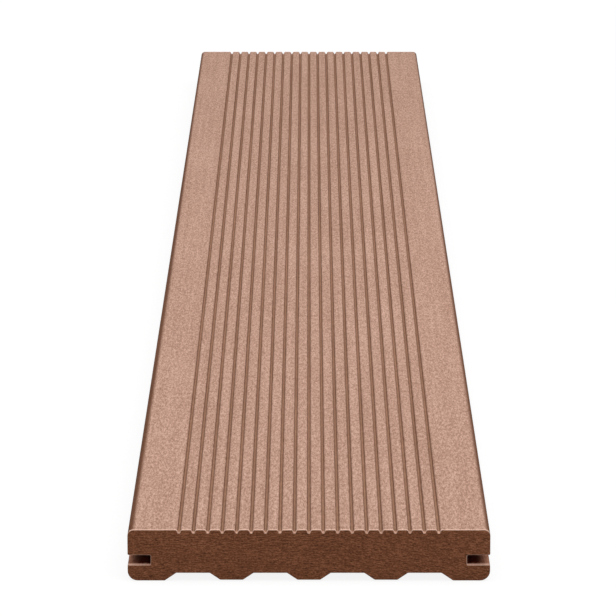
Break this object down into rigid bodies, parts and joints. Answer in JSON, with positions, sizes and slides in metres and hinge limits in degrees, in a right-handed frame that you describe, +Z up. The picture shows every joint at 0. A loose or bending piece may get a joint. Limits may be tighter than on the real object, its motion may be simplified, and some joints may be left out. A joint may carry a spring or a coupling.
{
  "type": "decking board",
  "caption": "Solid wood-plastic composite decking board with a ribbed walking face, a clip slot along each side and trapezoidal channels underneath.",
  "frame": {"origin": "under the middle of the board, on the plane of its two outer feet", "axes": "+X across the board, +Y along its length, +Z up through the ribbed walking face"},
  "size_m": [0.145, 1.2, 0.021],
  "materials": {
    "composite": "matte"
  },
  "bodies": {
    "root": {"decking_board": "composite"}
  },
  "joints": []
}
